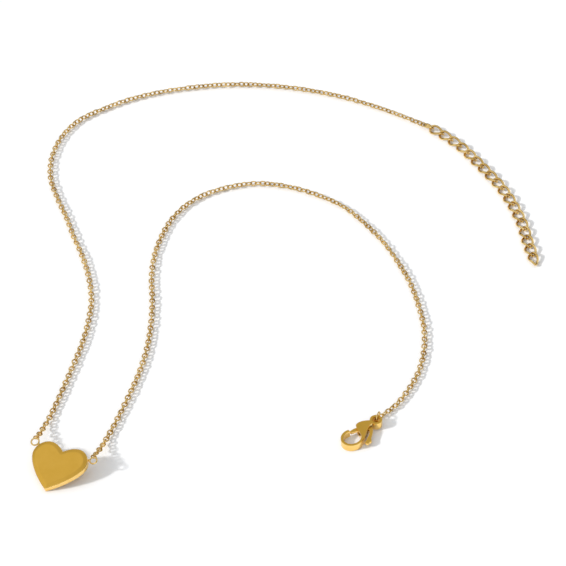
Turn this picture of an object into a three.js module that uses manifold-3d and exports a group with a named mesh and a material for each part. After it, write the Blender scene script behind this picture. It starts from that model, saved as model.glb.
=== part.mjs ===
// Pendant necklace: a flat heart between two fine cable-chain runs, a lobster clasp on one
// run and a curb-link extension on the other, lying on a table. Millimetres, +Z up.
import * as THREE from "three";
import { mergeVertices } from "three/addons/utils/BufferGeometryUtils.js";
import Module from "manifold-3d";

const wasm = await Module();
wasm.setup();

// Fine chain
const chainWidth = 1.4;
const chainSides = 8;
const chainStep = 3.8;
const segmentsPerRun = 5;
const hingeGap = 0.4;
const endClearance = 1.1;

// Heart
const heartThickness = 1.47;
const heartNotchY = 0.4;
const heartLobeTop = new THREE.Vector2(3.05, 1.78);
const heartSide = new THREE.Vector2(5.87, -1.1);
const heartTipY = -8.2;
const heartEdgeRadius = 0.3;
const heartOrigin = new THREE.Vector3(-44.6, -56.56, 3.1);
const heartPitchDeg = 17.4;
const heartRollDeg = -3.9;
const heartYawDeg = -24.8;

// Soldered rings on the heart
const heartRingWire = 0.32;
const heartRings = [
  { name: "heart_left_ring", outer: 1.9, x: -6.65, y: 0.98 },
  { name: "heart_right_ring", outer: 1.74, x: 6.52, y: 0.58 },
];

// Clasp
const claspThickness = 1.6;
const claspEyeOuter = 1.25;
const claspEyeHole = 0.75;
const claspSlot = 0.76;
const leverThickness = 0.6;
const pivot = new THREE.Vector2(2.7, -0.25);
const pinRadius = 0.26;
const pinClearance = 0.06;
const leverHub = 0.6;
const springStrip = 0.14;
const springWidth = 0.5;
const claspHook = { x: 6.65, y: 0.58, rx: 2.35, ry: 2.15 };
const claspHole = { x: 6.6, y: 0.6, rx: 1.88, ry: 1.65 };
const claspNoseX = 5.93;
const claspEye = new THREE.Vector3(16.88, -45.92, 1.25);
const claspYawDeg = 218.8;
const claspPitchDeg = 2.85;

// Jump ring between clasp and chain
const jumpRingOuter = 2.75;
const jumpRingWire = 0.3;
const jumpRingReach = 1.13;
const jumpRingHeight = 1.385;
const jumpRingDirection = new THREE.Vector3(0.33, 0.944, 0).normalize();

// Curb-link extension
const curbLinks = 19;
const curbPitch = 2.81;
const curbStart = 2.93;
const curbLength = 4.03;
const curbWidth = 2.8;
const curbWire = 0.52;
const curbTwistDeg = -42;
const curbHeight = 0.72;
const firstLinkLength = 2.75;
const firstLinkWidth = 2.35;
const firstLinkTwistDeg = -20;
const firstLinkPlace = 0.76;
const firstLinkRollDeg = -30;
const firstLinkHeight = 1.0;

// Routes, a point about every 7 mm and closer where the chain leaves the table.
const leftRoute = [
  [-50.2, -52.3, 3.22],
  [-49.8, -50.6, 2.36],
  [-49.4, -49.2, 1.87],
  [-49.0, -47.3, 1.33],
  [-48.2, -44.5, 0.84],
  [-46.4, -37.7, 0.73],
  [-44.7, -30.9, 0.73],
  [-43.1, -24.1, 0.73],
  [-42.0, -17.2, 0.73],
  [-41.6, -10.2, 0.73],
  [-42.4, -3.3, 0.73],
  [-44.1, 3.5, 0.73],
  [-46.4, 10.1, 0.73],
  [-48.5, 16.8, 0.73],
  [-50.9, 23.4, 0.73],
  [-52.7, 30.1, 0.73],
  [-52.8, 37.1, 0.73],
  [-51.1, 43.9, 0.73],
  [-47.5, 49.8, 0.73],
  [-42.0, 54.1, 0.73],
  [-35.9, 57.6, 0.73],
  [-29.4, 60.1, 0.73],
  [-22.6, 61.7, 0.73],
  [-15.7, 62.7, 0.73],
  [-8.7, 62.8, 0.73],
  [-1.7, 62.0, 0.73],
  [5.1, 60.5, 0.73],
  [11.8, 58.3, 0.73],
  [18.1, 55.4, 0.73],
  [24.2, 52.0, 0.73],
  [30.4, 47.7, 0.95],
];

const rightRoute = [
  [-38.5, -58.2, 3.97],
  [-38.3, -56.6, 3.08],
  [-37.95, -55.2, 2.39],
  [-37.4, -53.4, 1.69],
  [-36.6, -50.6, 0.97],
  [-34.4, -43.9, 0.73],
  [-32.4, -37.3, 0.73],
  [-30.6, -30.5, 0.73],
  [-29.4, -23.6, 0.73],
  [-28.9, -16.6, 0.73],
  [-28.9, -9.6, 0.73],
  [-29.3, -2.6, 0.73],
  [-28.9, 4.4, 0.73],
  [-27.4, 11.2, 0.73],
  [-24.7, 17.7, 0.73],
  [-20.2, 23.0, 0.73],
  [-14.1, 26.4, 0.73],
  [-7.3, 27.9, 0.73],
  [-0.5, 26.8, 0.73],
  [5.9, 24.0, 0.73],
  [11.6, 20.0, 0.73],
  [16.0, 14.6, 0.73],
  [19.8, 8.6, 0.73],
  [22.7, 2.3, 0.73],
  [25.1, -4.3, 0.73],
  [26.6, -11.1, 0.73],
  [27.5, -18.1, 0.73],
  [27.2, -25.1, 0.73],
  [25.6, -31.9, 0.73],
  [21.6, -39.8, 0.77],
  [19.7, -42.0, 0.74],
  [17.54, -44.03, 0.73],
];

const extensionRoute = [
  [30.5, 47.7],
  [32.7, 46.15],
  [34.6, 44.3],
  [37.65, 40.9],
  [40.4, 36.7],
  [42.9, 32.4],
  [45.35, 28.0],
  [47.3, 23.5],
  [48.8, 18.8],
  [49.95, 14.0],
  [50.6, 9.1],
  [51.4, 4.1],
  [51.8, 1.5],
  [52.05, -0.7],
];

function polishedMetal(color, roughness) {
  return new THREE.MeshStandardMaterial({ color, roughness, metalness: 1 });
}

const gold = polishedMetal(0xc79a35, 0.22);
const chainGold = polishedMetal(0xb98b32, 0.3);
const springSteel = polishedMetal(0xb9b7b0, 0.35);

const necklace = new THREE.Group();

function addPart(parent, name, geometry, material) {
  const mesh = new THREE.Mesh(geometry, material);
  mesh.name = name;
  parent.add(mesh);
  return mesh;
}

function curveThrough(points) {
  const vectors = points.map(([x, y, z = 0]) => new THREE.Vector3(x, y, z));
  return new THREE.CatmullRomCurve3(vectors, false, "centripetal");
}

// A stretch of a longer curve, from arc length start to end.
class Stretch extends THREE.Curve {
  constructor(curve, start, end) {
    super();
    this.curve = curve;
    this.total = curve.getLength();
    this.start = start;
    this.end = end;
  }

  getPoint(t, target = new THREE.Vector3()) {
    const along = THREE.MathUtils.lerp(this.start, this.end, t);
    return this.curve.getPointAt(THREE.MathUtils.clamp(along / this.total, 0, 1), target);
  }
}

function circleShape(radius, sides) {
  const corners = [];
  for (let i = 0; i < sides; i += 1) {
    const turn = (i / sides) * 2 * Math.PI;
    corners.push(new THREE.Vector2(radius * Math.cos(turn), radius * Math.sin(turn)));
  }
  return new THREE.Shape(corners);
}

// One run of fine chain, split where it is hinged, and clear of the rings it hooks into.
function addChainRun(name, route) {
  const curve = curveThrough(route);
  curve.arcLengthDivisions = 2000;
  const length = curve.getLength() / segmentsPerRun;
  const section = circleShape(chainWidth / 2, chainSides);
  for (let i = 0; i < segmentsPerRun; i += 1) {
    const first = i === 0;
    const last = i === segmentsPerRun - 1;
    const start = i * length + (first ? endClearance : hingeGap / 2);
    const end = (i + 1) * length - (last ? endClearance : hingeGap / 2);
    const geometry = new THREE.ExtrudeGeometry(section, {
      extrudePath: new Stretch(curve, start, end),
      steps: Math.round((end - start) / chainStep),
      bevelEnabled: false,
    });
    addPart(necklace, `${name}_${i + 1}`, geometry, chainGold);
  }
}

function roundRing(outer, wire, sides, steps) {
  return new THREE.TorusGeometry((outer - wire) / 2, wire / 2, sides, steps);
}

// Each half runs notch, lobe top, widest point, tip.
function heartOutline() {
  const top = heartLobeTop;
  const side = heartSide;
  const shape = new THREE.Shape();
  shape.moveTo(0, heartNotchY);
  shape.bezierCurveTo(0.75, 1.05, 1.9, top.y, top.x, top.y);
  shape.bezierCurveTo(4.55, top.y, side.x, 0.45, side.x, side.y);
  shape.bezierCurveTo(side.x, -3.2, 2.85, -6.35, 0, heartTipY);
  shape.bezierCurveTo(-2.85, -6.35, -side.x, -3.2, -side.x, side.y);
  shape.bezierCurveTo(-side.x, 0.45, -4.55, top.y, -top.x, top.y);
  shape.bezierCurveTo(-1.9, top.y, -0.75, 1.05, 0, heartNotchY);
  return shape;
}

function addPendant() {
  const pendant = new THREE.Group();
  pendant.rotation.order = "ZYX";
  pendant.rotation.set(
    THREE.MathUtils.degToRad(heartPitchDeg),
    THREE.MathUtils.degToRad(heartRollDeg),
    THREE.MathUtils.degToRad(heartYawDeg),
  );
  pendant.position.copy(heartOrigin);
  necklace.add(pendant);

  const plate = new THREE.ExtrudeGeometry(heartOutline(), {
    depth: heartThickness - 2 * heartEdgeRadius,
    curveSegments: 14,
    bevelThickness: heartEdgeRadius,
    bevelSize: heartEdgeRadius,
    bevelOffset: -heartEdgeRadius,
    bevelSegments: 3,
  });
  plate.translate(0, 0, heartEdgeRadius - heartThickness / 2);
  addPart(pendant, "heart_plate", plate, gold);

  for (const { name, outer, x, y } of heartRings) {
    const ring = addPart(pendant, name, roundRing(outer, heartRingWire, 8, 24), gold);
    ring.position.set(x, y, 0);
  }
}

function toSolid(geometry) {
  const plain = geometry.clone();
  plain.deleteAttribute("normal");
  plain.deleteAttribute("uv");
  const merged = mergeVertices(plain, 1e-5);
  return new wasm.Manifold(new wasm.Mesh({
    numProp: 3,
    vertProperties: new Float32Array(merged.attributes.position.array),
    triVerts: new Uint32Array(merged.index.array),
  }));
}

function toGeometry(solid) {
  const mesh = solid.getMesh();
  const geometry = new THREE.BufferGeometry();
  geometry.setAttribute("position", new THREE.BufferAttribute(mesh.vertProperties, 3));
  geometry.setIndex(new THREE.BufferAttribute(mesh.triVerts, 1));
  return geometry;
}

// A flat plate of the given outline, centred on the clasp's middle plane.
function slab(shape, thickness, curveSegments = 12) {
  const geometry = new THREE.ExtrudeGeometry(shape, {
    depth: thickness,
    curveSegments,
    bevelEnabled: false,
  });
  geometry.translate(0, 0, -thickness / 2);
  return geometry;
}

function polygon(points) {
  return new THREE.Shape(points.map(([x, y]) => new THREE.Vector2(x, y)));
}

// Eye at the origin, hook towards +X, gate on the -Y side and spine on the +Y side.
function claspOutline() {
  const gateNeck = 0.67;
  const spineNeck = 0.3;
  const onEye = (y) => Math.sqrt(claspEyeOuter ** 2 - y ** 2);
  const shoulderX = 5.0;
  const spineEndX = 5.57;
  const shape = new THREE.Shape();
  shape.moveTo(onEye(gateNeck), -gateNeck);
  shape.quadraticCurveTo(1.5, -1.05, 2.0, -1.31);
  shape.quadraticCurveTo(2.5, -1.6, 3.05, -1.66);
  shape.quadraticCurveTo(3.7, -1.74, 4.03, -1.41);
  shape.quadraticCurveTo(4.42, -0.75, 4.55, 0.2);
  shape.quadraticCurveTo(4.65, 0.95, shoulderX, 1.46);
  const innerStart = Math.acos((shoulderX - claspHole.x) / claspHole.rx);
  const innerEnd = -Math.acos((claspNoseX - claspHole.x) / claspHole.rx);
  shape.absellipse(claspHole.x, claspHole.y, claspHole.rx, claspHole.ry,
    innerStart, innerEnd, true);
  const outerStart = -Math.acos((claspNoseX - claspHook.x) / claspHook.rx);
  const outerEnd = Math.acos((spineEndX - claspHook.x) / claspHook.rx);
  shape.absellipse(claspHook.x, claspHook.y, claspHook.rx, claspHook.ry,
    outerStart, outerEnd, false);
  shape.quadraticCurveTo(4.95, 2.3, 4.4, 1.95);
  shape.quadraticCurveTo(2.9, 0.8, 1.9, spineNeck);
  shape.lineTo(onEye(spineNeck), spineNeck);
  shape.absarc(0, 0, claspEyeOuter, Math.asin(spineNeck / claspEyeOuter),
    2 * Math.PI - Math.asin(gateNeck / claspEyeOuter), false);
  shape.holes.push(circleShape(claspEyeHole, 20));
  return shape;
}

function claspBody() {
  const slot = polygon([[1.35, -3], [5.8, -3], [5.6, 0.1], [4.4, 0.9], [4.4, 4], [1.35, 4]]);
  const bore = new THREE.CylinderGeometry(pinRadius + pinClearance, pinRadius + pinClearance,
    2 * claspThickness, 20);
  bore.rotateX(Math.PI / 2);
  bore.translate(pivot.x, pivot.y, 0);
  const body = toSolid(slab(claspOutline(), claspThickness, 10))
    .subtract(toSolid(slab(slot, claspSlot)))
    .subtract(toSolid(bore));
  return toGeometry(body);
}

// The gate reaches across to the hook's nose; the thumb tab stands out past the spine.
function leverOutline() {
  const shape = new THREE.Shape();
  shape.moveTo(5.75, -1.42);
  shape.lineTo(4.6, -1.38);
  shape.lineTo(3.2, -1.0);
  shape.absarc(pivot.x, pivot.y, leverHub, -1.1, -Math.PI, true);
  shape.lineTo(1.85, 0.3);
  shape.lineTo(1.62, 0.62);
  shape.quadraticCurveTo(1.6, 1.0, 2.14, 1.59);
  shape.quadraticCurveTo(2.8, 2.2, 3.35, 2.57);
  shape.quadraticCurveTo(3.75, 2.95, 4.3, 3.55);
  shape.lineTo(4.62, 3.32);
  shape.lineTo(4.72, 3.4);
  shape.lineTo(5.0, 3.64);
  shape.quadraticCurveTo(5.35, 3.35, 5.32, 2.85);
  shape.quadraticCurveTo(4.75, 2.75, 4.3, 2.3);
  shape.lineTo(4.05, 1.3);
  shape.quadraticCurveTo(4.0, 0.3, 4.5, -0.5);
  shape.lineTo(5.72, -0.86);
  shape.holes.push(new THREE.Path().absarc(pivot.x, pivot.y, pinRadius + pinClearance,
    0, 2 * Math.PI));
  return shape;
}

// A bent leaf between the slot's end wall and the lever's back.
function springOutline() {
  return polygon([
    [1.42, -0.75],
    [1.42 + springStrip, -0.8],
    [1.72, 0.0],
    [1.57, 0.1],
  ]);
}

function addClasp() {
  const clasp = new THREE.Group();
  clasp.rotation.order = "ZYX";
  clasp.rotation.set(
    0,
    THREE.MathUtils.degToRad(claspPitchDeg),
    THREE.MathUtils.degToRad(claspYawDeg),
  );
  clasp.position.copy(claspEye);
  necklace.add(clasp);

  addPart(clasp, "clasp_body", claspBody(), gold);
  addPart(clasp, "clasp_lever", slab(leverOutline(), leverThickness, 6), gold);
  const pin = new THREE.CylinderGeometry(pinRadius, pinRadius, claspThickness, 16);
  pin.rotateX(Math.PI / 2);
  pin.translate(pivot.x, pivot.y, 0);
  addPart(clasp, "clasp_pivot_pin", pin, gold);
  addPart(clasp, "clasp_lever_spring", slab(springOutline(), springWidth), springSteel);

  const ring = roundRing(jumpRingOuter, jumpRingWire, 8, 28);
  ring.rotateX(Math.PI / 2);
  const jumpRing = addPart(necklace, "clasp_jump_ring", ring, gold);
  jumpRing.rotation.z = Math.atan2(jumpRingDirection.y, jumpRingDirection.x);
  jumpRing.position.copy(claspEye).addScaledVector(jumpRingDirection, jumpRingReach);
  jumpRing.position.z = jumpRingHeight;
}

// Centre line of a curb link: an oval twisted about its long axis, ends turned opposite ways.
function curbCentre(turn, length, width, twistDeg) {
  const halfLength = (length - curbWire) / 2;
  const halfWidth = (width - curbWire) / 2;
  const along = Math.cos(turn);
  const across = halfWidth * Math.sin(turn);
  const twist = THREE.MathUtils.degToRad(twistDeg) * along;
  return new THREE.Vector3(
    halfLength * along,
    across * Math.cos(twist),
    across * Math.sin(twist),
  );
}

function curbLinkGeometry(...shape) {
  const geometry = new THREE.TorusGeometry(1, curbWire / 2, 6, 20);
  const position = geometry.attributes.position;
  const delta = 1e-3;
  for (let i = 0; i < position.count; i += 1) {
    const x = position.getX(i);
    const y = position.getY(i);
    const turn = Math.atan2(y, x);
    const outward = Math.hypot(x, y) - 1;
    const upward = position.getZ(i);
    const centre = curbCentre(turn, ...shape);
    const ahead = curbCentre(turn + delta, ...shape);
    const tangent = ahead.sub(curbCentre(turn - delta, ...shape)).normalize();
    const up = new THREE.Vector3(0, 0, 1).addScaledVector(tangent, -tangent.z).normalize();
    const side = tangent.clone().cross(up);
    centre.addScaledVector(side, outward).addScaledVector(up, upward);
    position.setXYZ(i, centre.x, centre.y, centre.z);
  }
  return geometry;
}

// The first link is a smaller connecting link, tipped on its side; the others are alike.
function addExtension() {
  const curve = curveThrough(extensionRoute);
  const total = curve.getLength();
  for (let i = 0; i < curbLinks; i += 1) {
    const first = i === 0;
    const along = (first ? firstLinkPlace : curbStart + (i - 1) * curbPitch) / total;
    const geometry = first
      ? curbLinkGeometry(firstLinkLength, firstLinkWidth, firstLinkTwistDeg)
      : curbLinkGeometry(curbLength, curbWidth, curbTwistDeg);
    const number = String(i + 1).padStart(2, "0");
    const link = addPart(necklace, `extension_link_${number}`, geometry, gold);
    const tangent = curve.getTangentAt(along);
    link.rotation.order = "ZYX";
    link.rotation.z = Math.atan2(tangent.y, tangent.x);
    link.rotation.x = first ? THREE.MathUtils.degToRad(firstLinkRollDeg) : 0;
    link.position.copy(curve.getPointAt(along));
    link.position.z = first ? firstLinkHeight : curbHeight;
  }
}

addPendant();
addChainRun("left_chain", leftRoute);
addChainRun("right_chain", rightRoute);
addClasp();
addExtension();

export default necklace;
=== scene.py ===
import math

import bmesh
import bpy
import numpy as np
from mathutils import Euler, Matrix, Vector


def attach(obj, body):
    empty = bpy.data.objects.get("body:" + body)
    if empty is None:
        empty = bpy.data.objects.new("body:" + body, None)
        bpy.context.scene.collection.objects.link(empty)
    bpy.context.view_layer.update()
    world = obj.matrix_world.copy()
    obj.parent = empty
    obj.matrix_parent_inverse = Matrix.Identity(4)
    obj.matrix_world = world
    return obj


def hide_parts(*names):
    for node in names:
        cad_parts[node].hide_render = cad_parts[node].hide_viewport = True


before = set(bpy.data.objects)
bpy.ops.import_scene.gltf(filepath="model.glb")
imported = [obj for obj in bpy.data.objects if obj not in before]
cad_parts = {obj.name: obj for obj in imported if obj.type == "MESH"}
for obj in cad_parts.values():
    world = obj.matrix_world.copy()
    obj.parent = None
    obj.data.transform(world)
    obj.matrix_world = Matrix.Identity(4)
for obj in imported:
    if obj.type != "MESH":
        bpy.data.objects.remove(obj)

scene = bpy.context.scene
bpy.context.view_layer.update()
mm = 0.001


# Camera
cameraView = {
    "place": (-1.6, -417.1, 379.0),
    "tiltDown": 42.51,
    "lens": 169.35,
    "sensor": 36.0,
}


def makeCamera():
    data = bpy.data.cameras.new("tableCamera")
    data.lens = cameraView["lens"]
    data.sensor_width = cameraView["sensor"]
    data.clip_start = 0.01
    data.clip_end = 20
    camera = bpy.data.objects.new("tableCamera", data)
    camera.location = Vector(cameraView["place"]) * mm
    camera.rotation_euler = (math.radians(90 - cameraView["tiltDown"]), 0, 0)
    scene.collection.objects.link(camera)
    scene.camera = camera


makeCamera()
print("camera placed")


# Node helpers. A Signal is one socket; sums and products of signals add Math nodes.
class Signal:
    def __init__(self, maker, socket):
        self.maker = maker
        self.socket = socket

    def math(self, operation, first, second):
        return self.maker.node("ShaderNodeMath", {"operation": operation}, {0: first, 1: second})

    def __add__(self, other):
        return self.math("ADD", self, other)

    def __sub__(self, other):
        return self.math("SUBTRACT", self, other)

    def __rsub__(self, other):
        return self.math("SUBTRACT", other, self)

    def __mul__(self, other):
        return self.math("MULTIPLY", self, other)

    def __truediv__(self, other):
        return self.math("DIVIDE", self, other)

    def __mod__(self, other):
        return self.math("FLOORED_MODULO", self, other)

    __radd__ = __add__
    __rmul__ = __mul__


class NodeMaker:
    def __init__(self, tree):
        self.tree = tree

    def node(self, kind, settings=None, inputs=None, output=0):
        made = self.tree.nodes.new(kind)
        for key, value in (settings or {}).items():
            if key == "stops":
                self.setStops(made.color_ramp, value)
            else:
                setattr(made, key, value)
        for key, value in (inputs or {}).items():
            if isinstance(value, Signal):
                self.tree.links.new(value.socket, made.inputs[key])
            else:
                made.inputs[key].default_value = value
        return Signal(self, made.outputs[output]) if made.outputs else made

    def setStops(self, ramp, stops):
        while len(ramp.elements) < len(stops):
            ramp.elements.new(0.5)
        for element, (place, color) in zip(ramp.elements, stops):
            element.position = place
            element.color = color

    def output(self, signal, name):
        return Signal(self, signal.socket.node.outputs[name])


def startMaterial(name):
    material = bpy.data.materials.new(name)
    material.use_nodes = True
    material.node_tree.nodes.clear()
    return material, NodeMaker(material.node_tree)


# Gold plating: a warm base, slightly uneven in tone, with fine handling scratches and haze. Cast pieces
# carry two copies of the gold: a deeper, darker one on the plain upward faces, which is painted shade, and a
# paler, lit one on the rims and walls.
goldLook = {
    "litRimGold": {"light": (1.0, 0.70, 0.25), "deep": (0.95, 0.62, 0.18), "roughness": 0.10, "haze": 0.08,
             "scratchDepth": 1.0e-6, "waveDepth": 0.35e-6, "waveScale": 900},
    "wire": {"light": (0.95, 0.69, 0.29), "deep": (0.68, 0.44, 0.13), "roughness": 0.10, "haze": 0.08,
             "scratchDepth": 0.8e-6, "waveDepth": 0.5e-6, "waveScale": 2200},
    "shadedFaceGold": {"light": (0.69, 0.405, 0.064), "deep": (0.665, 0.385, 0.056), "roughness": 0.26, "haze": 0.06,
             "scratchDepth": 0.5e-6, "waveDepth": 0.25e-6, "waveScale": 600},
}

goldWear = {
    "patchScale": 420.0,
    "hazeScale": 1900.0,
    "scratchScale": 260.0,
    "scratchTurn": (0.3, 0.2, 0.9),
    "scratchStretch": 14.0,
    "crossScale": 310.0,
    "crossTurn": (1.1, 0.7, -0.5),
    "crossStretch": 12.0,
    "scratchRoughness": 0.05,
    "waveGain": 12,
}


def scratchMask(maker, coords, scale, turn, stretch):
    turned = maker.node("ShaderNodeMapping", {}, {
        "Vector": coords, "Rotation": turn, "Scale": (scale, scale * stretch, scale * stretch)})
    noise = maker.node("ShaderNodeTexNoise", {}, {
        "Vector": turned, "Scale": 1.0, "Detail": 2.0, "Roughness": 0.6})
    return maker.node("ShaderNodeMapRange", {"clamp": True}, {
        "Value": noise, "From Min": 0.60, "From Max": 0.72, "To Min": 0.0, "To Max": 1.0})


def makeGold(name, look, paintedLitRimLook=None):
    material, maker = startMaterial(name)
    coords = maker.output(maker.node("ShaderNodeTexCoord"), "Object")
    patches = maker.node("ShaderNodeTexNoise", {}, {
        "Vector": coords, "Scale": goldWear["patchScale"], "Detail": 3.0, "Roughness": 0.55})
    tone = maker.node("ShaderNodeMapRange", {"clamp": True}, {
        "Value": patches, "From Min": 0.35, "From Max": 0.65, "To Min": 0.0, "To Max": 1.0})
    color = mixColors(maker, tone, look["deep"], look["light"])
    scratches = scratchMask(
        maker, coords, goldWear["scratchScale"], goldWear["scratchTurn"], goldWear["scratchStretch"])
    crossing = scratchMask(
        maker, coords, goldWear["crossScale"], goldWear["crossTurn"], goldWear["crossStretch"])
    haze = maker.node("ShaderNodeTexNoise", {}, {
        "Vector": coords, "Scale": goldWear["hazeScale"], "Detail": 4.0, "Roughness": 0.6})
    scuffed = goldWear["scratchRoughness"] * (scratches + crossing)
    roughness = look["roughness"] + look["haze"] * haze + scuffed
    # the rim share mixes the paler, lit rim gold over the darker face gold, so the upward faces carry
    # painted shade; the roughness change with it is the real polish of the rims
    if paintedLitRimLook:
        rim = maker.node("ShaderNodeAttribute", {"attribute_name": "rim"}, {}, "Fac")
        paintedLitRimColor = mixColors(maker, tone, paintedLitRimLook["deep"], paintedLitRimLook["light"])
        color = mixColors(maker, rim, color, paintedLitRimColor)
        roughness = roughness + (paintedLitRimLook["roughness"] - look["roughness"]) * rim
    wave = maker.node("ShaderNodeTexNoise", {}, {
        "Vector": coords, "Scale": look["waveScale"], "Detail": 2.0, "Roughness": 0.5})
    softBump = maker.node("ShaderNodeBump", {}, {
        "Strength": 1.0, "Distance": look["waveDepth"] * goldWear["waveGain"], "Height": wave})
    bump = maker.node("ShaderNodeBump", {}, {
        "Strength": 1.0, "Distance": look["scratchDepth"], "Height": 1 - (scratches + crossing),
        "Normal": softBump})
    shader = maker.node("ShaderNodeBsdfPrincipled", {}, {
        "Base Color": color, "Metallic": 1.0, "Roughness": roughness, "Normal": bump})
    maker.node("ShaderNodeOutputMaterial", {}, {"Surface": shader})
    return material


def mixColors(maker, factor, first, second):
    def asColor(value):
        return value if isinstance(value, Signal) else (*value, 1.0)
    mixed = maker.node("ShaderNodeMix", {"data_type": "RGBA"}, {
        "Factor": factor, 6: asColor(first), 7: asColor(second)}, 2)
    return mixed


def makeSpringSteel():
    material, maker = startMaterial("springSteel")
    coords = maker.output(maker.node("ShaderNodeTexCoord"), "Object")
    grain = maker.node("ShaderNodeMapping", {}, {"Vector": coords, "Scale": (900.0, 9000.0, 900.0)})
    brushed = maker.node("ShaderNodeTexNoise", {}, {"Vector": grain, "Scale": 1.0, "Detail": 3.0})
    color = mixColors(maker, brushed, (0.55, 0.54, 0.52), (0.78, 0.77, 0.74))
    bump = maker.node("ShaderNodeBump", {}, {"Strength": 0.6, "Distance": 1e-6, "Height": brushed})
    shader = maker.node("ShaderNodeBsdfPrincipled", {}, {
        "Base Color": color, "Metallic": 1.0, "Roughness": 0.2 + 0.2 * brushed, "Normal": bump})
    maker.node("ShaderNodeOutputMaterial", {}, {"Surface": shader})
    return material


# the cast gold holds both copies: darker painted shade on the upward faces, the paler lit gold on the rims
# and walls
castGoldLitAndShaded = makeGold("castGoldLitAndShaded", goldLook["shadedFaceGold"], goldLook["litRimGold"])
wireGold = makeGold("wireGold", goldLook["wire"])
springSteel = makeSpringSteel()
print("materials made")


# Curves
def smoothRoute(points, samplesPerSpan=40):
    # centripetal Catmull-Rom through all the points, with mirrored end points
    knots = [Vector(p) * mm for p in points]
    knots = [2 * knots[0] - knots[1], *knots, 2 * knots[-1] - knots[-2]]
    line = []
    for a, b, c, d in zip(knots, knots[1:], knots[2:], knots[3:]):
        first = (b - a).length ** 0.5
        middle = (c - b).length ** 0.5
        last = (d - c).length ** 0.5
        leave = ((b - a) / first - (c - a) / (first + middle) + (c - b) / middle) * middle
        reach = ((c - b) / middle - (d - b) / (middle + last) + (d - c) / last) * middle
        for step in range(samplesPerSpan):
            t = step / samplesPerSpan
            line.append(b * (2 * t**3 - 3 * t**2 + 1) + leave * (t**3 - 2 * t**2 + t)
                        + c * (3 * t**2 - 2 * t**3) + reach * (t**3 - t**2))
    line.append(knots[-2])
    return np.array([tuple(p) for p in line])


def lengthsAlong(line):
    steps = np.linalg.norm(np.diff(line, axis=0), axis=1)
    return np.concatenate([[0.0], np.cumsum(steps)])


def pointsAt(line, places):
    along = lengthsAlong(line)
    return np.stack([np.interp(places, along, line[:, axis]) for axis in range(3)], axis=1)


# Fine cable chain
fineChain = {
    "stretches": 5,
    "linksPerStretch": 37,
    "wire": 0.30,
    "linkWidth": 1.33,
    "rollJitter": 13.0,
    "tiltJitter": 4.0,
    "diameter": 1.4,
    "left": [
        (-50.2, -52.3, 3.22),
        (-49.8, -50.6, 2.36),
        (-49.4, -49.2, 1.87),
        (-49.0, -47.3, 1.33),
        (-48.2, -44.5, 0.84),
        (-46.4, -37.7, 0.73),
        (-44.7, -30.9, 0.73),
        (-43.1, -24.1, 0.73),
        (-42.0, -17.2, 0.73),
        (-41.6, -10.2, 0.73),
        (-42.4, -3.3, 0.73),
        (-44.1, 3.5, 0.73),
        (-46.4, 10.1, 0.73),
        (-48.5, 16.8, 0.73),
        (-50.9, 23.4, 0.73),
        (-52.7, 30.1, 0.73),
        (-52.8, 37.1, 0.73),
        (-51.1, 43.9, 0.73),
        (-47.5, 49.8, 0.73),
        (-42.0, 54.1, 0.73),
        (-35.9, 57.6, 0.73),
        (-29.4, 60.1, 0.73),
        (-22.6, 61.7, 0.73),
        (-15.7, 62.7, 0.73),
        (-8.7, 62.8, 0.73),
        (-1.7, 62.0, 0.73),
        (5.1, 60.5, 0.73),
        (11.8, 58.3, 0.73),
        (18.1, 55.4, 0.73),
        (24.2, 52.0, 0.73),
        (30.4, 47.7, 0.95),
    ],
    "right": [
        (-38.5, -58.2, 3.97),
        (-38.3, -56.6, 3.08),
        (-37.95, -55.2, 2.39),
        (-37.4, -53.4, 1.69),
        (-36.6, -50.6, 0.97),
        (-34.4, -43.9, 0.73),
        (-32.4, -37.3, 0.73),
        (-30.6, -30.5, 0.73),
        (-29.4, -23.6, 0.73),
        (-28.9, -16.6, 0.73),
        (-28.9, -9.6, 0.73),
        (-29.3, -2.6, 0.73),
        (-28.9, 4.4, 0.73),
        (-27.4, 11.2, 0.73),
        (-24.7, 17.7, 0.73),
        (-20.2, 23.0, 0.73),
        (-14.1, 26.4, 0.73),
        (-7.3, 27.9, 0.73),
        (-0.5, 26.8, 0.73),
        (5.9, 24.0, 0.73),
        (11.6, 20.0, 0.73),
        (16.0, 14.6, 0.73),
        (19.8, 8.6, 0.73),
        (22.7, 2.3, 0.73),
        (25.1, -4.3, 0.73),
        (26.6, -11.1, 0.73),
        (27.5, -18.1, 0.73),
        (27.2, -25.1, 0.73),
        (25.6, -31.9, 0.73),
        (21.6, -39.8, 0.77),
        (19.7, -42.0, 0.74),
        (17.54, -44.03, 0.73),
    ],
}


def startGeometryTree(name, inputs):
    tree = bpy.data.node_groups.new(name, "GeometryNodeTree")
    for label, kind in inputs:
        tree.interface.new_socket(label, in_out="INPUT", socket_type=kind)
    tree.interface.new_socket("Geometry", in_out="OUTPUT", socket_type="NodeSocketGeometry")
    maker = NodeMaker(tree)
    first = maker.node("NodeGroupInput")
    given = {label: maker.output(first, label) for label, kind in inputs}
    return tree, maker, given


def rotateLocally(maker, rotation, angles):
    turn = maker.node("FunctionNodeEulerToRotation", {}, {"Euler": angles})
    return maker.node("FunctionNodeRotateRotation", {"rotation_space": "LOCAL"}, {
        "Rotation": rotation, "Rotate By": turn})


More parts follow.
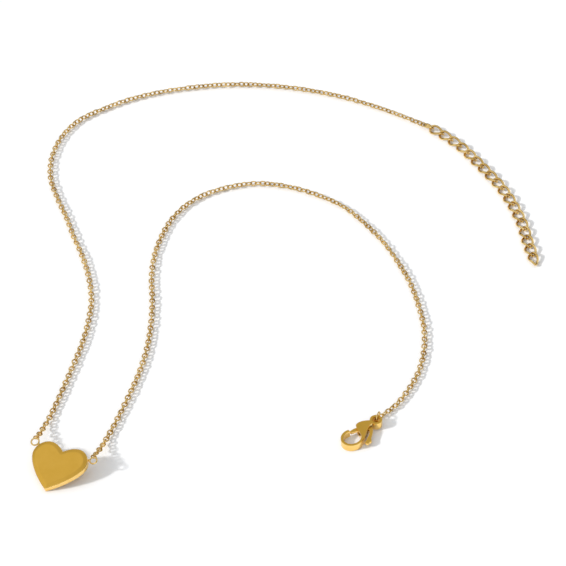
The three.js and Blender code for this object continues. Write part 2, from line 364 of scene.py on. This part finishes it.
def makeCableTree():
    tree, maker, given = startGeometryTree("cableChain", [
        ("Route", "NodeSocketGeometry"), ("Links", "NodeSocketInt"), ("First Link", "NodeSocketInt"),
        ("Link Length", "NodeSocketFloat"), ("Link Width", "NodeSocketFloat"),
        ("Wire", "NodeSocketFloat"), ("Roll Jitter", "NodeSocketFloat"),
        ("Tilt Jitter", "NodeSocketFloat"), ("Material", "NodeSocketMaterial")])
    index = maker.node("GeometryNodeInputIndex")
    factor = (index + 0.5) / given["Links"]
    sample = maker.node("GeometryNodeSampleCurve", {"mode": "FACTOR", "data_type": "FLOAT_VECTOR"}, {
        "Curves": given["Route"], "Factor": factor})
    number = index + given["First Link"]
    jitters = []
    for seed, reach in ((3, given["Roll Jitter"]), (5, given["Tilt Jitter"]), (8, given["Tilt Jitter"])):
        random = maker.node("FunctionNodeRandomValue", {"data_type": "FLOAT"}, {
            "Min": 0 - reach, "Max": reach, "ID": number, "Seed": seed}, 1)
        jitters.append(random)
    roll = (number % 2) * (math.pi / 2) + jitters[0]
    angles = maker.node("ShaderNodeCombineXYZ", {}, {"X": roll, "Y": jitters[1], "Z": jitters[2]})
    along = maker.node("FunctionNodeAlignRotationToVector", {"axis": "X"}, {
        "Vector": maker.output(sample, "Tangent")})
    level = maker.node("FunctionNodeAlignRotationToVector", {"axis": "Z", "pivot_axis": "X"}, {
        "Rotation": along, "Vector": (0.0, 0.0, 1.0)})
    points = maker.node("GeometryNodePoints", {}, {
        "Count": given["Links"], "Position": maker.output(sample, "Position")})
    circle = maker.node("GeometryNodeCurvePrimitiveCircle", {}, {"Resolution": 12, "Radius": 0.5})
    size = maker.node("ShaderNodeCombineXYZ", {}, {
        "X": given["Link Length"] - given["Wire"], "Y": given["Link Width"] - given["Wire"], "Z": 1.0})
    oval = maker.node("GeometryNodeTransform", {}, {"Geometry": circle, "Scale": size})
    section = maker.node("GeometryNodeCurvePrimitiveCircle", {}, {
        "Resolution": 5, "Radius": given["Wire"] * 0.5})
    link = maker.node("GeometryNodeCurveToMesh", {}, {"Curve": oval, "Profile Curve": section})
    placed = maker.node("GeometryNodeInstanceOnPoints", {}, {
        "Points": points, "Instance": link, "Rotation": rotateLocally(maker, level, angles)})
    whole = maker.node("GeometryNodeRealizeInstances", {}, {"Geometry": placed})
    smooth = maker.node("GeometryNodeSetShadeSmooth", {}, {"Geometry": whole})
    finished = maker.node("GeometryNodeSetMaterial", {}, {
        "Geometry": smooth, "Material": given["Material"]})
    maker.node("NodeGroupOutput", {}, {"Geometry": finished})
    return tree


def meshFromTree(name, tree, source, values):
    # runs the tree on the source object and keeps the result as a plain mesh object
    scene.collection.objects.link(source)
    modifier = source.modifiers.new(tree.name, "NODES")
    modifier.node_group = tree
    identifiers = {s.name: s.identifier for s in tree.interface.items_tree if s.in_out == "INPUT"}
    for label, value in values.items():
        modifier[identifiers[label]] = value
    evaluated = source.evaluated_get(bpy.context.evaluated_depsgraph_get())
    mesh = bpy.data.meshes.new_from_object(evaluated)
    source.modifiers.clear()
    data = source.data
    bpy.data.objects.remove(source)
    (bpy.data.curves if isinstance(data, bpy.types.Curve) else bpy.data.meshes).remove(data)
    mesh.name = name
    made = bpy.data.objects.new(name, mesh)
    scene.collection.objects.link(made)
    return made


def curveObject(name, points):
    data = bpy.data.curves.new(name, "CURVE")
    data.dimensions = "3D"
    spline = data.splines.new("POLY")
    spline.points.add(len(points) - 1)
    for point, place in zip(spline.points, points):
        point.co = (*place, 1.0)
    return bpy.data.objects.new(name, data)


def makeChains():
    tree = makeCableTree()
    count = fineChain["linksPerStretch"]
    for side in ("left", "right"):
        line = smoothRoute(fineChain[side])
        length = lengthsAlong(line)[-1] / fineChain["stretches"]
        pitch = length / count
        for stretch in range(fineChain["stretches"]):
            places = np.linspace(stretch * length, (stretch + 1) * length, 4 * count + 1)
            path = pointsAt(line, places)
            name = f"{side}_links_{stretch + 1}"
            chain = meshFromTree(name, tree, curveObject(name + "_route", path), {
                "Links": count,
                "First Link": stretch * count + (0 if side == "left" else 1000),
                "Link Length": pitch + 2 * fineChain["wire"] * mm,
                "Link Width": fineChain["linkWidth"] * mm,
                "Wire": fineChain["wire"] * mm,
                "Roll Jitter": math.radians(fineChain["rollJitter"]),
                "Tilt Jitter": math.radians(fineChain["tiltJitter"]),
                "Material": wireGold,
            })
            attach(chain, f"{side}_run_{stretch + 1}")
            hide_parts(f"{side}_chain_{stretch + 1}")
        print(side, "run:", count * fineChain["stretches"], "links of pitch", round(pitch / mm, 3), "mm")


makeChains()


# Rings and curb links: a closed oval of wire, twisted about its length and narrowed at one end
def makeWireLinkTree():
    tree, maker, given = startGeometryTree("wireLink", [
        ("Base", "NodeSocketGeometry"), ("Length", "NodeSocketFloat"), ("Width", "NodeSocketFloat"),
        ("Wire", "NodeSocketFloat"), ("Twist", "NodeSocketFloat"), ("Taper", "NodeSocketFloat"),
        ("Place", "NodeSocketVector"), ("Turn", "NodeSocketVector"), ("Material", "NodeSocketMaterial")])
    circle = maker.node("GeometryNodeCurvePrimitiveCircle", {}, {"Resolution": 40, "Radius": 1.0})
    place = maker.node("ShaderNodeSeparateXYZ", {}, {"Vector": maker.node("GeometryNodeInputPosition")})
    along = maker.output(place, "X")
    across = maker.output(place, "Y") * (given["Width"] - given["Wire"]) * 0.5
    across = across * (1 - given["Taper"] * (along + 1) * 0.5)
    angle = along * given["Twist"]
    shape = maker.node("ShaderNodeCombineXYZ", {}, {
        "X": along * (given["Length"] - given["Wire"]) * 0.5,
        "Y": across * angle.math("COSINE", angle, 0.0),
        "Z": across * angle.math("SINE", angle, 0.0)})
    oval = maker.node("GeometryNodeSetPosition", {}, {"Geometry": circle, "Position": shape})
    section = maker.node("GeometryNodeCurvePrimitiveCircle", {}, {
        "Resolution": 12, "Radius": given["Wire"] * 0.5})
    link = maker.node("GeometryNodeCurveToMesh", {}, {"Curve": oval, "Profile Curve": section})
    placed = maker.node("GeometryNodeTransform", {}, {
        "Geometry": link, "Translation": given["Place"], "Rotation": given["Turn"]})
    whole = maker.node("GeometryNodeRealizeInstances", {}, {"Geometry": placed})
    smooth = maker.node("GeometryNodeSetShadeSmooth", {}, {"Geometry": whole})
    finished = maker.node("GeometryNodeSetMaterial", {}, {
        "Geometry": smooth, "Material": given["Material"]})
    maker.node("NodeGroupOutput", {}, {"Geometry": finished})
    return tree


wireLinkTree = makeWireLinkTree()


def makeWireLink(name, body, length, width, wire, place, turn, twist=0.0, taper=0.0):
    base = bpy.data.objects.new(name + "_base", bpy.data.meshes.new(name + "_base"))
    link = meshFromTree(name, wireLinkTree, base, {
        "Length": length * mm, "Width": width * mm, "Wire": wire * mm, "Twist": twist, "Taper": taper,
        "Place": place, "Turn": turn, "Material": wireGold})
    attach(link, body)
    return link


curbChain = {
    "links": 19,
    "start": 2.93,
    "pitch": 2.81,
    "length": 4.03,
    "width": 2.8,
    "wire": 0.52,
    "twist": -42.0,
    "height": 0.72,
    "lastTaper": 0.36,
    "first": {"length": 2.75, "width": 2.35, "twist": -20.0, "place": 0.76, "height": 1.0, "roll": -30.0},
    "route": [
        (30.5, 47.7, 0), (32.7, 46.15, 0), (34.6, 44.3, 0), (37.65, 40.9, 0), (40.4, 36.7, 0),
        (42.9, 32.4, 0), (45.35, 28.0, 0), (47.3, 23.5, 0), (48.8, 18.8, 0), (49.95, 14.0, 0),
        (50.6, 9.1, 0), (51.4, 4.1, 0), (51.8, 1.5, 0), (52.05, -0.7, 0),
    ],
}


def makeExtension():
    line = smoothRoute(curbChain["route"])
    usual = {**curbChain, "roll": 0.0}
    for number in range(1, curbChain["links"] + 1):
        shape = curbChain["first"] if number == 1 else usual
        along = shape["place"] if number == 1 else curbChain["start"] + (number - 2) * curbChain["pitch"]
        before, place, after = pointsAt(line, [(along - 0.1) * mm, along * mm, (along + 0.1) * mm])
        heading = math.atan2(after[1] - before[1], after[0] - before[0])
        place[2] = shape["height"] * mm
        link = makeWireLink(
            f"curb_link_{number:02d}", f"link_{number:02d}", shape["length"], shape["width"],
            curbChain["wire"], place, (math.radians(shape["roll"]), 0.0, heading),
            math.radians(shape["twist"]), curbChain["lastTaper"] if number == curbChain["links"] else 0.0)
        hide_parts(f"extension_link_{number:02d}")
    print("extension:", curbChain["links"], "curb links")


makeExtension()


# Outline helpers, all in millimetres
def bezierPoints(corners, count):
    # any number of control points, the first left out so that pieces can be chained
    points = []
    for step in range(1, count + 1):
        t = step / count
        level = [Vector(c) for c in corners]
        while len(level) > 1:
            level = [a.lerp(b, t) for a, b in zip(level, level[1:])]
        points.append(tuple(level[0]))
    return points


def ellipsePoints(center, radii, start, end, count):
    turns = [start + (end - start) * step / count for step in range(count + 1)]
    return [(center[0] + radii[0] * math.cos(t), center[1] + radii[1] * math.sin(t)) for t in turns]


def placement(place, turnDegrees):
    turn = Euler([math.radians(a) for a in turnDegrees], "XYZ")
    return Matrix.Translation(Vector(place) * mm) @ turn.to_matrix().to_4x4() @ Matrix.Scale(mm, 4)


def objectFromBmesh(name, shape):
    mesh = bpy.data.meshes.new(name)
    shape.to_mesh(mesh)
    shape.free()
    made = bpy.data.objects.new(name, mesh)
    scene.collection.objects.link(made)
    return made


def applyModifiers(made):
    evaluated = made.evaluated_get(bpy.context.evaluated_depsgraph_get())
    mesh = bpy.data.meshes.new_from_object(evaluated)
    made.modifiers.clear()
    old = made.data
    made.data = mesh
    bpy.data.meshes.remove(old)
    mesh.name = made.name


def cutAway(made, tools):
    for tool in tools:
        modifier = made.modifiers.new("cut", "BOOLEAN")
        modifier.operation = "DIFFERENCE"
        modifier.solver = "EXACT"
        modifier.object = tool
    bpy.context.view_layer.update()
    applyModifiers(made)
    for tool in tools:
        mesh = tool.data
        bpy.data.objects.remove(tool)
        bpy.data.meshes.remove(mesh)


def prism(name, outline, low, high):
    shape = bmesh.new()
    bottom = [shape.verts.new((x, y, low)) for x, y in outline]
    top = [shape.verts.new((x, y, high)) for x, y in outline]
    shape.faces.new(list(reversed(bottom)))
    shape.faces.new(top)
    for i in range(len(outline)):
        j = (i + 1) % len(outline)
        shape.faces.new((bottom[i], bottom[j], top[j], top[i]))
    bmesh.ops.recalc_face_normals(shape, faces=shape.faces)
    return objectFromBmesh(name, shape)


def roundEdges(made, width, segments=3):
    shape = bmesh.new()
    shape.from_mesh(made.data)
    sharp = [e for e in shape.edges
             if len(e.link_faces) == 2 and e.calc_face_angle() > solidFinish["bevelAngle"]]
    bmesh.ops.bevel(shape, geom=sharp, offset=width, segments=segments, profile=0.5,
                    affect="EDGES", clamp_overlap=True)
    bmesh.ops.remove_doubles(shape, verts=shape.verts, dist=solidFinish["mergeDistance"])
    shape.to_mesh(made.data)
    shape.free()


solidFinish = {
    "upward": 0.97,
    "sharpAngle": 34,
    "normalWeight": 80,
    "bevelAngle": 0.9,
    "mergeDistance": 0.002,
}


def finishGoldPiece(made, matrix, body):
    # the upward faces are left plain and take the darker face gold, a painted shade; everything else is
    # marked as polished rim with the paler, lit copy of the gold
    mesh = made.data
    rim = mesh.attributes.new("rim", "FLOAT", "FACE")
    for polygon in mesh.polygons:
        rim.data[polygon.index].value = 0.0 if polygon.normal.z > solidFinish["upward"] else 1.0
    mesh.transform(matrix)
    mesh.shade_smooth()
    mesh.set_sharp_from_angle(angle=math.radians(solidFinish["sharpAngle"]))
    modifier = made.modifiers.new("even", "WEIGHTED_NORMAL")
    modifier.keep_sharp = True
    modifier.weight = solidFinish["normalWeight"]
    bpy.context.view_layer.update()
    applyModifiers(made)
    made.data.materials.clear()
    made.data.materials.append(castGoldLitAndShaded)
    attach(made, body)


# Lobster clasp
clasp = {
    "thickness": 1.6,
    "eyeOuter": 1.25,
    "eyeHole": 0.75,
    "slot": 0.62,
    "slotOutline": [(1.35, -3), (5.8, -3), (5.6, 0.1), (4.4, 0.9), (4.4, 4), (1.35, 4)],
    "lever": 0.48,
    "leverEdge": 0.06,
    "pivot": (2.7, -0.25),
    "hub": 0.6,
    "hookCenter": (6.65, 0.58),
    "hookRadii": (2.35, 2.15),
    "holeCenter": (6.6, 0.6),
    "holeRadii": (1.88, 1.65),
    "noseX": 5.93,
    "shoulderX": 5.0,
    "spineEndX": 5.57,
    "gateNeck": 0.67,
    "spineNeck": 0.3,
    "edge": 0.09,
    "place": (16.88, -45.92, 1.25),
    "turn": (0.0, 2.85, 218.8),
    "ringOuter": 2.75,
    "ringWire": 0.3,
    "ringPlace": (17.253, -44.853, 1.385),
    "ringTurn": (90.0, 0.0, 70.7),
}


def angleAtX(center, radii, x):
    return math.acos((x - center[0]) / radii[0])


def claspOutline():
    eye = clasp["eyeOuter"]
    gate = clasp["gateNeck"]
    spine = clasp["spineNeck"]
    hole = (clasp["holeCenter"], clasp["holeRadii"])
    hook = (clasp["hookCenter"], clasp["hookRadii"])
    start = (math.sqrt(eye**2 - gate**2), -gate)
    points = [start]
    points += bezierPoints([start, (1.5, -1.05), (2.0, -1.31)], 5)
    points += bezierPoints([(2.0, -1.31), (2.5, -1.6), (3.05, -1.66)], 6)
    points += bezierPoints([(3.05, -1.66), (3.7, -1.74), (4.03, -1.41)], 7)
    points += bezierPoints([(4.03, -1.41), (4.42, -0.75), (4.55, 0.2)], 8)
    points += bezierPoints([(4.55, 0.2), (4.65, 0.95), (5.0, 1.46)], 7)
    points += ellipsePoints(*hole, angleAtX(*hole, clasp["shoulderX"]), -angleAtX(*hole, clasp["noseX"]), 44)
    points += ellipsePoints(*hook, -angleAtX(*hook, clasp["noseX"]), angleAtX(*hook, clasp["spineEndX"]), 52)
    points += bezierPoints([points[-1], (4.95, 2.3), (4.4, 1.95)], 6)
    points += bezierPoints([(4.4, 1.95), (2.9, 0.8), (1.9, spine)], 14)
    low = math.asin(spine / eye)
    high = 2 * math.pi - math.asin(gate / eye)
    points += ellipsePoints((0, 0), (eye, eye), low, high, 40)[:-1]
    return points


def leverOutline():
    pivot = clasp["pivot"]
    hub = clasp["hub"]
    points = [(5.75, -1.42), (4.6, -1.38), (3.2, -1.0)]
    points += ellipsePoints(pivot, (hub, hub), -1.1, -math.pi, 14)
    points += [(1.85, 0.3), (1.62, 0.62)]
    points += bezierPoints([(1.62, 0.62), (1.6, 1.0), (2.14, 1.59)], 6)
    points += bezierPoints([(2.14, 1.59), (2.8, 2.2), (3.35, 2.57)], 6)
    points += bezierPoints([(3.35, 2.57), (3.7, 2.85), (3.95, 3.35)], 5)
    points += bezierPoints([(3.95, 3.35), (4.15, 3.7), (4.5, 3.52), (4.62, 3.32)], 8)
    points += bezierPoints([(4.62, 3.32), (4.72, 3.62), (5.0, 3.68), (5.2, 3.45)], 8)
    points += bezierPoints([(5.2, 3.45), (5.4, 3.2), (5.3, 2.85)], 6)
    points += bezierPoints([(5.3, 2.85), (4.75, 2.75), (4.3, 2.3)], 6)
    points += bezierPoints([(4.3, 2.3), (3.2, 1.9), (2.5, 1.05)], 7)
    points += bezierPoints([(2.5, 1.05), (2.55, 0.3), (3.3, 0.1)], 5)
    points += bezierPoints([(3.3, 0.1), (4.1, -0.05), (4.5, -0.5)], 5)
    points += [(5.72, -0.86)]
    return points


def makeClasp():
    matrix = placement(clasp["place"], clasp["turn"])
    half = clasp["thickness"] / 2
    body = prism("clasp_shell", claspOutline(), -half, half)
    eyeHole = ellipsePoints((0, 0), (clasp["eyeHole"],) * 2, 0, 2 * math.pi, 40)[:-1]
    cutAway(body, [prism("eyeCutter", eyeHole, -2, 2)])
    roundEdges(body, clasp["edge"])
    slotHalf = clasp["slot"] / 2
    cutAway(body, [prism("slotCutter", clasp["slotOutline"], -slotHalf, slotHalf)])
    finishGoldPiece(body, matrix, "clasp")
    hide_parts("clasp_body", "clasp_pivot_pin")

    lever = prism("clasp_thumb_lever", leverOutline(), -clasp["lever"] / 2, clasp["lever"] / 2)
    roundEdges(lever, clasp["leverEdge"], 2)
    finishGoldPiece(lever, matrix, "lever")
    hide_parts("clasp_lever")

    ring = makeWireLink("jump_ring_wire", "jump_ring", clasp["ringOuter"], clasp["ringOuter"],
                        clasp["ringWire"], Vector(clasp["ringPlace"]) * mm,
                        [math.radians(a) for a in clasp["ringTurn"]])
    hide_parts("clasp_jump_ring")
    print("clasp:", len(body.data.polygons), "faces on the body,", len(lever.data.polygons), "on the lever")


makeClasp()


# Heart: flat face, shallow sloping border, straight wall and softly rounded back edge
heart = {
    "thickness": 1.47,
    "notchY": 0.4,
    "lobeTop": (3.05, 1.78),
    "side": (5.87, -1.1),
    "tipY": -8.2,
    "borderWidth": 0.85,
    "borderDrop": 0.2,
    "topCorner": 0.1,
    "backCorner": 0.25,
    "pointsPerHalf": 90,
    "sharpAngle": 50,
    "normalWeight": 70,
    "place": (-44.6, -56.56, 3.1),
    "turn": (17.4, -3.9, -24.8),
    "ringWire": 0.32,
    "rings": [
        ("heart_left_wire", "heart_left_ring", 1.9, (-6.65, 0.98), (-5.15, 0.5)),
        ("heart_right_wire", "heart_right_ring", 1.74, (6.52, 0.58), (5.3, 0.25)),
    ],
}


def heartHalf():
    # the right half of the outline, from the notch over the lobe to the tip
    topX, topY = heart["lobeTop"]
    sideX, sideY = heart["side"]
    notch = (0.0, heart["notchY"])
    points = [notch]
    points += bezierPoints([notch, (0.75, 1.05), (1.9, topY), (topX, topY)], 60)
    points += bezierPoints([(topX, topY), (4.55, topY), (sideX, 0.45), (sideX, sideY)], 60)
    points += bezierPoints([(sideX, sideY), (sideX, -3.2), (2.85, -6.35), (0.0, heart["tipY"])], 80)
    return np.array(points)


def insetHalf(points, depth):
    # moves the half outline inwards, round at the notch and mitred on the middle line at the tip
    tangent = np.gradient(points, axis=0)
    tangent /= np.linalg.norm(tangent, axis=1)[:, None]
    inward = np.stack([tangent[:, 1], -tangent[:, 0]], axis=1)
    moved = points + depth * inward
    startTurn = math.atan2(inward[0][1], inward[0][0])
    corner = ellipsePoints(points[0], (depth, depth), -math.pi / 2, startTurn, 10)[:-1] if depth else []
    keep = [tuple(p) for p in moved[:-1] if p[0] > 0 or not depth]
    last, before = np.array(keep[-1]), np.array(keep[-2])
    slope = (last - before) / np.linalg.norm(last - before)
    tip = last + slope * (last[0] / -slope[0])
    line = np.array([*corner, *keep, tuple(tip)])
    line[0][0] = 0.0
    line[-1][0] = 0.0
    along = lengthsAlong(line)
    places = np.linspace(0, along[-1], heart["pointsPerHalf"])
    return np.stack([np.interp(places, along, line[:, axis]) for axis in range(2)], axis=1)


def heartLevels():
    # inset, height and rim share of each loop, from the back face up to the front face; the rim share mixes
    # in the paler, lit gold, and the border and face loops at 0 keep the darker gold of painted shade
    half = heart["thickness"] / 2
    back = heart["backCorner"]
    top = heart["topCorner"]
    drop = heart["borderDrop"]
    width = heart["borderWidth"]
    levels = [(back + 0.3, -half, 0.4), (back + 0.04, -half, 0.8)]
    for step in range(5):
        turn = math.pi / 2 * step / 4
        levels.append((back * (1 - math.sin(turn)), -half + back * (1 - math.cos(turn)), 1.0))
    crown = half - drop
    levels += [(0.0, -half + back + 0.05, 1.0), (0.0, crown - top - 0.04, 1.0)]
    for step in range(5):
        turn = math.pi / 2 * step / 4
        levels.append((top * (1 - math.cos(turn)), crown - top * (1 - math.sin(turn)), 1 - 0.2 * step))
    for step in range(1, 9):
        share = step / 8
        rise = drop * (1 - (1 - share) ** 1.1)
        levels.append((top + (width - top) * share, crown + rise, 0.0))
    levels.append((width + 0.03, half, 0.0))
    return levels


def makeHeart():
    half = heartHalf()
    shape = bmesh.new()
    paintedLitRimLayer = shape.verts.layers.float.new("rim")
    loops = []
    for depth, height, paintedLitRimShare in heartLevels():
        right = insetHalf(half, depth)
        outline = [*right, *[(-x, y) for x, y in right[-2:0:-1]]]
        loop = [shape.verts.new((x, y, height)) for x, y in reversed(outline)]
        # each loop's rim share picks between the paler lit gold and the darker painted-shade gold of the
        # face
        for vert in loop:
            vert[paintedLitRimLayer] = paintedLitRimShare
        loops.append(loop)
    for lower, upper in zip(loops, loops[1:]):
        for i in range(len(lower)):
            j = (i + 1) % len(lower)
            shape.faces.new((lower[i], lower[j], upper[j], upper[i]))
    shape.faces.new(list(reversed(loops[0])))
    shape.faces.new(loops[-1])
    made = objectFromBmesh("heart_charm", shape)
    mesh = made.data
    matrix = placement(heart["place"], heart["turn"])
    mesh.transform(matrix)
    mesh.shade_smooth()
    mesh.set_sharp_from_angle(angle=math.radians(heart["sharpAngle"]))
    modifier = made.modifiers.new("even", "WEIGHTED_NORMAL")
    modifier.keep_sharp = True
    modifier.weight = heart["normalWeight"]
    bpy.context.view_layer.update()
    applyModifiers(made)
    made.data.materials.clear()
    made.data.materials.append(castGoldLitAndShaded)
    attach(made, "pendant")
    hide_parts("heart_plate")

    turn = [math.radians(a) for a in heart["turn"]]
    for name, node, outer, center, onEdge in heart["rings"]:
        ring = makeWireLink(name, "pendant", outer, outer, heart["ringWire"],
                            matrix @ Vector((*center, 0.0)), turn)
        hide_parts(node)
        makeSolder(name + "_solder", matrix, center, onEdge, outer)
    print("heart:", len(made.data.polygons), "faces")


solder = {
    "overlap": 0.2,
    "reach": 0.1,
    "endRadius": 0.12,
    "waist": 0.2,
    "flare": 0.22,
    "flatness": 0.9,
    "sides": 16,
}


def makeSolder(name, matrix, center, onEdge, outer):
    # a short waisted fillet of metal from the ring's wire into the heart's wall
    toEdge = (Vector(onEdge) - Vector(center)).normalized()
    start = Vector(center) + toEdge * (outer / 2 - solder["overlap"])
    length = (Vector(onEdge) - start).length + solder["reach"]
    rings = []
    shape = bmesh.new()
    side = Vector((-toEdge.y, toEdge.x))
    for share in (0.0, 0.15, 0.3, 0.5, 0.7, 0.85, 1.0):
        radius = solder["waist"] + solder["flare"] * (2 * share - 1) ** 2
        if share in (0.0, 1.0):
            radius = solder["endRadius"]
        middle = start + toEdge * length * share
        ring = []
        for k in range(solder["sides"]):
            t = 2 * math.pi * k / solder["sides"]
            spot = middle + side * radius * math.cos(t)
            ring.append(shape.verts.new((*spot, solder["flatness"] * radius * math.sin(t))))
        rings.append(ring)
    for lower, upper in zip(rings, rings[1:]):
        for i in range(solder["sides"]):
            j = (i + 1) % solder["sides"]
            shape.faces.new((lower[i], lower[j], upper[j], upper[i]))
    shape.faces.new(list(reversed(rings[0])))
    shape.faces.new(rings[-1])
    bmesh.ops.recalc_face_normals(shape, faces=shape.faces)
    made = objectFromBmesh(name, shape)
    made.data.transform(matrix)
    made.data.shade_smooth()
    made.data.materials.append(wireGold)
    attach(made, "pendant")


makeHeart()


# Floor and light
studio = {
    "floorHalf": 2.0,
    "floorColor": (0.965, 0.965, 0.965),
    "keyFrom": (-1.43, -0.47, 1.0),
    "keyStrength": 2.3,
    "keyAngle": 6.0,
    "skyFrom": 0.32,
    "skyTo": 0.66,
    "skyLow": 0.09,
    "skyHigh": 0.74,
    "skyTint": (0.965, 0.98, 1.0),
    "skySlant": 0.8,
    "backdrop": 0.88,
    "panels": [
        # direction, cosine at the edge, cosine at the core, brightness
        ((0.30, -0.85, 0.50), 0.90, 0.96, 1.3),
        ((0.85, 0.45, 0.55), 0.95, 0.985, 1.4),
    ],
}


def makeStudio():
    mesh = bpy.data.meshes.new("tableTop")
    half = studio["floorHalf"]
    mesh.from_pydata([(-half, -half, 0), (half, -half, 0), (half, half, 0), (-half, half, 0)], [],
                     [(0, 1, 2, 3)])
    table = bpy.data.objects.new("tableTop", mesh)
    scene.collection.objects.link(table)
    material, maker = startMaterial("paleTable")
    coords = maker.output(maker.node("ShaderNodeTexCoord"), "Object")
    grain = maker.node("ShaderNodeTexNoise", {}, {"Vector": coords, "Scale": 300.0, "Detail": 3.0})
    color = mixColors(maker, grain, studio["floorColor"], tuple(c + 0.01 for c in studio["floorColor"]))
    shader = maker.node("ShaderNodeBsdfPrincipled", {}, {"Base Color": color, "Roughness": 0.9})
    maker.node("ShaderNodeOutputMaterial", {}, {"Surface": shader})
    mesh.materials.append(material)

    key = bpy.data.lights.new("windowLight", "SUN")
    key.energy = studio["keyStrength"]
    key.angle = math.radians(studio["keyAngle"])
    sun = bpy.data.objects.new("windowLight", key)
    sun.rotation_euler = Vector(studio["keyFrom"]).to_track_quat("Z", "Y").to_euler()
    sun.visible_glossy = False
    scene.collection.objects.link(sun)

    world = bpy.data.worlds.new("studioSky")
    world.use_nodes = True
    world.node_tree.nodes.clear()
    maker = NodeMaker(world.node_tree)
    direction = maker.output(maker.node("ShaderNodeTexCoord"), "Generated")
    split = maker.node("ShaderNodeSeparateXYZ", {}, {"Vector": direction})
    height = maker.output(split, "Z")
    sideways = maker.output(split, "X")
    brightness = maker.node("ShaderNodeMapRange", {"interpolation_type": "SMOOTHSTEP"}, {
        "Value": height, "From Min": studio["skyFrom"], "From Max": studio["skyTo"],
        "To Min": studio["skyLow"], "To Max": studio["skyHigh"]})
    brightness = brightness * (1 - studio["skySlant"] * sideways)
    for toward, edge, core, strength in studio["panels"]:
        facing = maker.node("ShaderNodeVectorMath", {"operation": "DOT_PRODUCT"}, {
            0: direction, 1: Vector(toward).normalized()}, "Value")
        brightness = brightness + maker.node("ShaderNodeMapRange", {"interpolation_type": "SMOOTHSTEP"}, {
            "Value": facing, "From Min": edge, "From Max": core, "To Min": 0.0, "To Max": strength})
    # the room behind the table is pale, and its light on the pieces stays that of the sky above
    seen = maker.output(maker.node("ShaderNodeLightPath"), "Is Camera Ray")
    brightness = brightness * (1 - seen) + studio["backdrop"] * seen
    background = maker.node("ShaderNodeBackground", {}, {
        "Color": (*studio["skyTint"], 1.0), "Strength": brightness})
    maker.node("ShaderNodeOutputWorld", {}, {"Surface": background})
    scene.world = world
    scene.view_settings.view_transform = "Standard"


makeStudio()
print("studio lit")


# The spring keeps its shape
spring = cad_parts["clasp_lever_spring"]
spring.data.materials.clear()
spring.data.materials.append(springSteel)
